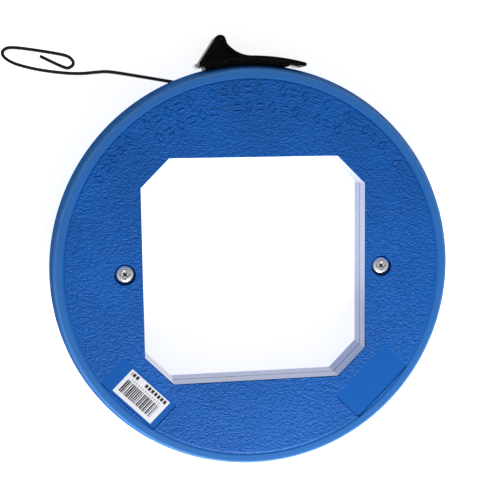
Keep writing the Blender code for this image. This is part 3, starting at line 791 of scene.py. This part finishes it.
def share_finishes(shell, case):
    """Gives the rim's side its duller skin, and the walls of the hand opening their polish."""
    within = case.opening / MM / 2 + 0.6
    for face in shell.data.polygons:
        x = face.center.x / MM
        y = (face.center.y - AXIS_Y) / MM
        if abs(face.normal.z) > 0.6:
            continue
        if math.hypot(x, y) > CASE_RADIUS - 3.0:
            face.material_index = 1
        elif abs(x) < within and abs(y) < within:
            face.material_index = 2


class FISHTAPE_OT_case(bpy.types.Operator):
    """Build the two moulded halves of the case"""

    bl_idname = "fishtape.case"
    bl_label = "Case"

    def execute(self, context):
        case = context.scene.fishtape_case
        blue = finish_of("moulded_blue", moulded_blue, case)
        dull = finish_of("rim_blue", moulded_blue, case, "rim_blue", 0.06, 0.5, ior=1.12)
        polish = {"coat_weight": 1.0, "coat_ior": 1.5}
        polished = finish_of(
            "hand_opening_blue", moulded_blue, case, "hand_opening_blue", 0.5, 0.04, **polish
        )
        for name, node_name, front in (
            ("case_front_moulding", "front_shell", True),
            ("case_rear_moulding", "rear_shell", False),
        ):
            made = piece(name, half_shell(case, front), "case", blue, 28.0)
            made.data.materials.append(dull)
            made.data.materials.append(polished)
            share_finishes(made, case)
            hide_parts(node_name)
        return {"FINISHED"}


def dash(length, width, height, centre, angle):
    """A low rounded bar, crowned on top."""
    layers = []
    for inset, z in ((0.0, -0.15), (0.0, height * 0.45), (0.1, height * 0.85), (0.22, height)):
        outline = rounded_rectangle(length, width, width / 2 - 0.001, centre, angle, -inset)
        layers.append((outline, FACE_TOP + z))
    return stack(layers)


def lozenge(reach, stroke, height, centre, angle):
    """A low diamond outline."""
    corners = ((reach, 0.0), (0.0, reach * 0.62), (-reach, 0.0), (0.0, -reach * 0.62))
    spin = Matrix.Rotation(angle, 2)
    solids = []
    for start, end in zip(corners, corners[1:] + corners[:1]):
        run = Vector(end) - Vector(start)
        middle = Vector(centre) + spin @ ((Vector(start) + Vector(end)) / 2)
        turn = angle + math.atan2(run.y, run.x)
        solids.append(dash(run.length + stroke * 0.5, stroke, height, tuple(middle), turn))
    return solids


def mark_row(marks, radius, half_angle, pitch, groups):
    """A curved row of plain raised marks, in groups: diamond outlines, and pairs of short bars."""
    height = marks.height / MM
    stroke = marks.stroke / MM
    count = int(2 * math.radians(half_angle) * radius / pitch)
    solids = []
    for i in range(count + 1):
        if i % groups == groups - 1:
            continue
        turn = math.radians(half_angle) - i * pitch / radius
        centre = (-radius * math.sin(turn), radius * math.cos(turn))
        out = Vector((centre[0], centre[1])).normalized()
        upright = math.atan2(out.y, out.x)
        if i % 2 == 0:
            solids += lozenge(2.8, stroke, height, centre, upright)
        else:
            for shift in (-1.4, 1.4):
                spot = Vector(centre) + out * shift
                solids.append(dash(3.6, stroke, height, tuple(spot), upright + math.pi / 2))
    return join(solids)


class FISHTAPE_OT_marks(bpy.types.Operator):
    """Build the two curved rows of plain raised marks on the front face"""

    bl_idname = "fishtape.marks"
    bl_label = "Raised Marks"

    def execute(self, context):
        marks = context.scene.fishtape_marks
        blue = finish_of("moulded_blue", moulded_blue, context.scene.fishtape_case)
        outer = mark_row(marks, 87.4, 58.5, 5.75, 6)
        piece("raised_marks_outer", outer, "case", blue)
        inner = mark_row(marks, 79.2, 35.0, 5.75, 7)
        piece("raised_marks_inner", inner, "case", blue)
        return {"FINISHED"}


# ---------------------------------------------------------------- fasteners


def pan_screw(fasteners, side, screw_x):
    """A pan-head screw with a domed head, a shallow square recess and a deep cross in it."""
    head = fasteners.head / MM
    seat = HEAD_SEAT
    top = seat + HEAD_HEIGHT
    profile = [(0.0, top)]
    for i in range(1, 9):
        t = i / 8
        profile.append((head * t**0.8, top - 0.95 * t**3.2))
    profile += [(head, seat + 0.15), (head - 0.15, seat), (2.05, seat), (2.05, 0.8), (1.65, 0.4), (0.0, 0.4)]
    place = Matrix.Translation((side * screw_x, 0.0, 0.0))
    tools = []
    for length, width, deep, lean in ((3.6, 3.6, 0.42, 0.3), (2.5, 0.95, 1.1, 0.1), (0.95, 2.5, 1.15, 0.1)):
        layers = []
        for offset, z in ((-lean, top - deep), (0.0, top - 0.12), (0.05, top + 0.5)):
            outline = rounded_rectangle(length, width, 0.3, (side * screw_x, 0.0), math.radians(45), offset)
            layers.append((outline, z))
        tools.append(("DIFFERENCE", stack(layers)))
    return carve(lathe(profile, 64, place), tools)


def hexagon_nut(side, screw_x):
    """A hexagon nut with rounded-off corners and a bored hole."""
    radius = NUT_ACROSS / 2 / math.cos(math.radians(30))
    spot = (side * screw_x, 0.0)
    low, high = 0.6, 3.7
    body = stack([(circle(radius, 6, spot), low), (circle(radius, 6, spot), high)])
    cone = [(0.0, low), (3.95, low), (radius + 0.6, low + 1.0)]
    cone += [(radius + 0.6, high - 1.0), (3.95, high), (0.0, high)]
    rounder = lathe(cone, 48, Matrix.Translation((*spot, 0.0)))
    bore = [(0.0, low - 1), (3.2, low - 0.5), (2.2, low + 0.5), (2.2, high + 1), (0.0, high + 1)]
    hole = lathe(bore, 32, Matrix.Translation((*spot, 0.0)))
    return carve(body, [("INTERSECT", rounder), ("DIFFERENCE", hole)])


class FISHTAPE_OT_fasteners(bpy.types.Operator):
    """Build the case screws and nuts"""

    bl_idname = "fishtape.fasteners"
    bl_label = "Case Screws and Nuts"

    def execute(self, context):
        fasteners = context.scene.fishtape_fasteners
        zinc = finish_of("zinc_plating", zinc_plating, fasteners)
        heads = finish_of("zinc_screw_heads", zinc_plating, fasteners, "zinc_screw_heads", True)
        screw_x = screw_place(context.scene.fishtape_case)
        for side, word in ((-1, "left"), (1, "right")):
            solid = pan_screw(fasteners, side, screw_x)
            screw = piece(f"pan_screw_{word}", solid, "case", heads)
            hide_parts(f"case_screw_{word}")
            nut = piece(f"hexagon_nut_{word}", hexagon_nut(side, screw_x), "case", zinc)
            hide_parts(f"case_nut_{word}")
        return {"FINISHED"}


class FISHTAPE_OT_label(bpy.types.Operator):
    """Build the printed label in its pocket"""

    bl_idname = "fishtape.label"
    bl_label = "Label"

    def execute(self, context):
        label = context.scene.fishtape_label
        paper = finish_of("printed_paper", printed_paper, label)
        centre = (LABEL_LOW + LABEL_HIGH) / 2
        spot = (centre.x / MM, (centre.y - AXIS_Y) / MM)
        layers = []
        for inset, z in ((0.0, LABEL_LOW.z / MM), (0.0, LABEL_HIGH.z / MM - 0.05), (0.05, LABEL_HIGH.z / MM)):
            outline = rounded_rectangle(
                label.length / MM, label.width / MM, 0.35, spot, math.radians(-45), -inset
            )
            layers.append((outline, z))
        made = piece("printed_label", stack(layers), "case", paper)
        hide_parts("barcode_label")
        return {"FINISHED"}


# ---------------------------------------------------------------- the tape

def lead_line():
    """(the last turn's radius, a point on it, the way out, the outward normal) of the tape's straight run."""
    radius = COIL_OUTER + TAPE_GAP + HALF_TAPE
    slope = math.radians(TAPE_SLOPE)
    normal = Vector((math.sin(slope), math.cos(slope), 0.0))
    way_out = Vector((-math.cos(slope), math.sin(slope), 0.0))
    return radius, normal * radius, way_out, normal


def full_layers(steel):
    """The wound tape's full layers, each with its turns side by side."""
    pitch = (COIL_HIGH.z - COIL_LOW.z) / MM / steel.columns
    thick = steel.thickness / MM
    inner = lead_line()[0] - (steel.layers + 0.5) * thick
    solids = []
    for layer in range(steel.layers):
        radius = inner + (layer + 0.5) * thick
        line = []
        for i in range(steel.columns * TURN_STEPS + 1):
            turn = 2 * math.pi * i / TURN_STEPS
            column = min(i / TURN_STEPS, steel.columns - 0.5) - steel.columns / 2 + 0.25
            share = max(-1.0, min(1.0, column / (steel.columns / 2)))
            height = MIDDLE + share * (steel.columns - 1) / 2 * pitch
            line.append(Vector((radius * math.cos(turn), radius * math.sin(turn), height)))
        solids.append(strip(line, steel.width / MM, thick - 0.06, 0.3))
    return join(solids)


def open_turns(steel):
    """The outermost open turns. They stop short of the tape's free end, which can be pushed back in."""
    radius, _, _, normal = lead_line()
    room = OPEN_TURN_ROOM / (2 * math.pi * radius)
    end = math.atan2(normal.y, normal.x)
    count = int(OPEN_TURNS * TURN_STEPS)
    line = []
    for i in range(count + 1):
        back = room + (OPEN_TURNS - room) * (1 - i / count)
        angle = end - 2 * math.pi * back
        height = MIDDLE + OPEN_TURN_CLIMB * back
        line.append(Vector((radius * math.cos(angle), radius * math.sin(angle), height)))
    return strip(line, steel.width / MM, steel.thickness / MM - 0.06, 0.3)


class FISHTAPE_OT_winding(bpy.types.Operator):
    """Build the wound tape turn by turn, and finish the anchor that holds its inner end"""

    bl_idname = "fishtape.winding"
    bl_label = "Wound Tape"

    def execute(self, context):
        steel = context.scene.fishtape_steel
        blued = finish_of("blued_steel", blued_steel, steel)
        zinc = finish_of("zinc_plating", zinc_plating, context.scene.fishtape_fasteners)
        bright = finish_of("bright_spring_steel", bright_strip)
        made = piece("wound_tape_turns", full_layers(steel), "case", blued, 40.0)
        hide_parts("fish_tape_coil")
        piece("open_tape_turns", open_turns(steel), "winder", blued, 40.0)
        finish_node("tape_anchor_clip", bright, 0.15)
        finish_node("tape_anchor_screw", zinc, 0.1)
        return {"FINISHED"}


# Points along the straight run from the rim, and off it, in millimetres.
HOOK_ROUTE = (
    (15.0, 0.1), (29.5, 0.0), (36.0, -1.2), (42.0, -2.7), (48.6, -3.7),
    (57.3, -4.2), (65.7, -4.1), (74.0, -3.1), (78.6, -1.2), (80.0, 1.0),
    (78.6, 3.1), (75.0, 4.1), (66.8, 4.5), (54.4, 4.5), (49.4, 3.8),
    (47.1, 1.5), (48.3, -0.7), (51.4, -1.2), (62.8, 2.1),
)


def free_run():
    """The middle line of the tape's free end, from inside the case to the end of its hook, and its exit."""
    radius, tangent, way_out, normal = lead_line()
    mouth = radius * math.tan(math.radians(TAPE_SLOPE) + SADDLE_END / CASE_RADIUS)
    at_rim = math.sqrt(CASE_RADIUS**2 - radius**2)
    first = mouth - TAPE_INSIDE
    route = [(first - at_rim + (at_rim - first) * i / 6, 0.0) for i in range(7)] + list(HOOK_ROUTE)
    straight = 7
    up = Vector((0.0, 0.0, MIDDLE))
    points = [tangent + way_out * (at_rim + along) + normal * off + up for along, off in route]
    line = points[:straight]
    for i in range(straight, len(points)):
        before = points[max(i - 2, 0)]
        a = points[i - 1]
        b = points[i]
        after = points[min(i + 1, len(points) - 1)]
        for k in range(1, 9):
            t = k / 8
            spread = (b - before) * t + (before * 2 - a * 5 + b * 4 - after) * t**2
            spread += (a * 3 - before - b * 3 + after) * t**3
            line.append(a + spread * 0.5)
    return line, tangent + way_out * mouth + up


class FISHTAPE_OT_tape_end(bpy.types.Operator):
    """Build the free end of the tape with its formed hook"""

    bl_idname = "fishtape.tape_end"
    bl_label = "Tape End"

    def execute(self, context):
        steel = context.scene.fishtape_steel
        blued = finish_of("blued_steel", blued_steel, steel)
        line, mouth = free_run()
        solid = strip(line, steel.width / MM, steel.thickness / MM, 0.35)
        made = piece("hooked_tape_end", solid, "tape", blued, 40.0)
        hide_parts("fish_tape_end")
        return {"FINISHED"}


# ---------------------------------------------------------------- the winder


def grip_outline():
    """The winder's side view on the rim: foot, straight back, rounded top, hollow front and thin tail."""
    crest = arc((-13.9, 12.6), 2.4, 138, 20, 14)
    hollow = arc((0.0, 17.0), 12.8, 207, 270, 20)[1:]
    tail = [(2.0 * i, 4.2) for i in range(1, 12)]
    tip = arc((25.2, 3.2), 1.0, 90, -60, 8)
    under = [(24.0 - 2.0 * i, 2.15) for i in range(23)]
    foot = [(-24.4, 2.15), (-24.9, 2.4), (-25.25, 2.8), (-25.35, 3.4), (-25.1, 4.0)]
    return [on_rim(*point) for point in crest + hollow + tail + tip + under + foot]


def web_outline():
    """The three-cornered hollow in the side of the winder's hump."""
    crest = arc((-13.9, 11.8), 1.0, 138, 30, 6)
    hollow = arc((0.4, 17.4), 14.6, 205, 246, 10)
    base = [(-7.2, 3.9), (-9.6, 3.78), (-12.0, 3.7), (-15.0, 3.65), (-18.0, 3.6), (-22.6, 3.8)]
    return [on_rim(*point) for point in crest + hollow + base]


class FISHTAPE_OT_winder(bpy.types.Operator):
    """Build the winder: grip, saddle and steel strip, and finish the shoe and screws inside"""

    bl_idname = "fishtape.winder"
    bl_label = "Winder"

    def execute(self, context):
        winder = context.scene.fishtape_winder
        half = winder.width / MM / 2
        edge = winder.edge / MM
        black = finish_of("winder_nylon", nylon, "winder_nylon", tuple(winder.colour), 0.3)
        dull = finish_of("shoe_nylon", nylon, "shoe_nylon", (0.016, 0.016, 0.018), 0.45)
        bright = finish_of("bright_spring_steel", bright_strip)
        zinc = finish_of("zinc_plating", zinc_plating, context.scene.fishtape_fasteners)

        body = stack([(grip_outline(), MIDDLE - half), (grip_outline(), MIDDLE + half)])
        web = web_outline()
        hollows = []
        for side in (-1, 1):
            ends = sorted((MIDDLE + side * (half - 3.2), MIDDLE + side * (half + 1.0)))
            hollows.append(("DIFFERENCE", stack([(web, ends[0]), (web, ends[1])])))
        grip = piece("winder_thumb_grip", carve(body, hollows), "winder", black, 32.0, edge)
        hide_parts("winder_grip")

        block = rim_band(0.35, 1.95, -SADDLE_END, 17.5, 1.6)
        tray = rim_band(1.25, 4.0, -25.2, 22.5)
        neck = rim_band(-3.4, 0.75, -22.9, 16.5)
        tools = [("DIFFERENCE", stack([(tray, MIDDLE - half + 1.9), (tray, MIDDLE + half - 1.9)]))]
        tools.append(("UNION", stack([(neck, MIDDLE - 2.7), (neck, MIDDLE + 2.7)])))
        saddle = carve(stack([(block, MIDDLE - half), (block, MIDDLE + half)]), tools)
        seat = piece("winder_rim_saddle", saddle, "winder", black, 32.0, 0.2, 2)
        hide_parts("winder_saddle")

        middle = 1.7
        line = [(-26.6, middle + 2.2), (-26.83, middle + 1.75), (-26.8, middle + 1.3), (-26.6, middle + 0.85)]
        line += [(-26.2, middle + 0.5), (-25.7, middle + 0.25), (-25.2, middle + 0.1)]
        line += [(-24.0 + 47.6 * i / 40, middle) for i in range(41)]
        route = [Vector((*on_rim(*point), MIDDLE)) for point in line]
        steel_band = strip(route, 9.0, 0.5, 0.12)
        wear = piece("winder_steel_strip", steel_band, "winder", bright, 40.0)
        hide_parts("winder_wear_strip")

        finish_node("winder_shoe", dull, 0.2)
        for word in ("rear", "front"):
            finish_node(f"winder_screw_{word}", zinc, 0.08)
        return {"FINISHED"}


# ---------------------------------------------------------------- the stage


def area_light(name, power, size, place, target):
    """A soft square lamp that points at a place."""
    lamp = bpy.data.lights.new(name, "AREA")
    lamp.energy = power
    lamp.size = size
    made = linked(name, lamp)
    made.location = place
    aim = Vector(target) - Vector(place)
    made.rotation_euler = aim.to_track_quat("-Z", "Y").to_euler()
    return made


class FISHTAPE_OT_stage(bpy.types.Operator):
    """Set up the camera, the soft light, the pale floor and the backdrop"""

    bl_idname = "fishtape.stage"
    bl_label = "Stage"

    def execute(self, context):
        stage = context.scene.fishtape_stage
        work = bmesh.new()
        bmesh.ops.create_grid(work, x_segments=1, y_segments=1, size=FLOOR_SIZE)
        mesh = bpy.data.meshes.new("pale_floor")
        work.to_mesh(mesh)
        work.free()
        floor = linked("pale_floor", mesh)
        floor.location = (0.0, 0.0, -FLOOR_DROP)
        mesh.materials.append(finish_of("pale_floor", floor_finish, tuple(stage.floor)))

        work = bmesh.new()
        bmesh.ops.create_cone(
            work, segments=64, radius1=BACKDROP_RADIUS, radius2=BACKDROP_RADIUS, depth=2 * BACKDROP_RADIUS
        )
        mesh = bpy.data.meshes.new("pale_backdrop")
        work.to_mesh(mesh)
        work.free()
        backdrop = linked("pale_backdrop", mesh)
        mesh.materials.append(finish_of("pale_backdrop", backdrop_finish))
        for ray in ("diffuse", "glossy", "transmission", "shadow"):
            setattr(backdrop, f"visible_{ray}", False)

        world = bpy.data.worlds.new("soft_white_room")
        context.scene.world = world
        world.use_nodes = True
        sky = world.node_tree.nodes["Background"]
        sky.inputs[0].default_value = (1.0, 1.0, 1.0, 1.0)
        sky.inputs[1].default_value = 0.3
        area_light("key_lamp", 12.0, 0.3, (0.1, -0.75, 0.4), (0.0, -0.03, 0.0))
        context.scene.view_settings.view_transform = "Standard"

        turned = Matrix.Rotation(stage.turn, 3, "Y")
        leaned = Matrix.Rotation(stage.tilt, 3, "X")
        rolled = Matrix.Rotation(stage.roll, 3, "Z")
        back = (rolled @ leaned @ turned).transposed()
        spot = back @ Vector((-3.04 * MM, 9.99 * MM, stage.distance))
        data = bpy.data.cameras.new("camera")
        data.lens = stage.lens
        data.sensor_width = 36.0
        data.clip_start = 0.01
        camera = linked("camera", data)
        camera.matrix_world = Matrix.Translation(spot + Vector((0.0, AXIS_Y, CASE_HIGH.z))) @ back.to_4x4()
        context.scene.camera = camera
        return {"FINISHED"}


# ---------------------------------------------------------------- panel and running

OPERATORS = (
    FISHTAPE_OT_stage,
    FISHTAPE_OT_tape_end,
    FISHTAPE_OT_case,
    FISHTAPE_OT_marks,
    FISHTAPE_OT_fasteners,
    FISHTAPE_OT_label,
    FISHTAPE_OT_winding,
    FISHTAPE_OT_winder,
)

SETTINGS = {
    "fishtape_case": FishTapeCase,
    "fishtape_marks": FishTapeMarks,
    "fishtape_fasteners": FishTapeFasteners,
    "fishtape_label": FishTapeLabel,
    "fishtape_steel": FishTapeSteel,
    "fishtape_winder": FishTapeWinder,
    "fishtape_stage": FishTapeStage,
}


class FISHTAPE_PT_panel(bpy.types.Panel):
    """Sizes, colours and builders of the fish tape reel"""

    bl_idname = "FISHTAPE_PT_panel"
    bl_label = "Fish Tape Reel"
    bl_space_type = "VIEW_3D"
    bl_region_type = "UI"
    bl_category = "Fish Tape"

    def draw(self, context):
        for name, group in SETTINGS.items():
            box = self.layout.box()
            box.label(text=group.__doc__.rstrip("."))
            for prop in group.__annotations__:
                box.prop(getattr(context.scene, name), prop)
        for operator in OPERATORS:
            self.layout.operator(operator.bl_idname)


def register():
    for group in SETTINGS.values():
        bpy.utils.register_class(group)
    for name, group in SETTINGS.items():
        setattr(bpy.types.Scene, name, PointerProperty(type=group))
    for operator in OPERATORS:
        bpy.utils.register_class(operator)
    bpy.utils.register_class(FISHTAPE_PT_panel)


def unregister():
    bpy.utils.unregister_class(FISHTAPE_PT_panel)
    for operator in reversed(OPERATORS):
        bpy.utils.unregister_class(operator)
    for name, group in SETTINGS.items():
        delattr(bpy.types.Scene, name)
        bpy.utils.unregister_class(group)


def main():
    register()
    for operator in OPERATORS:
        group, action = operator.bl_idname.split(".")
        getattr(getattr(bpy.ops, group), action)()


if __name__ == "__main__":
    main()
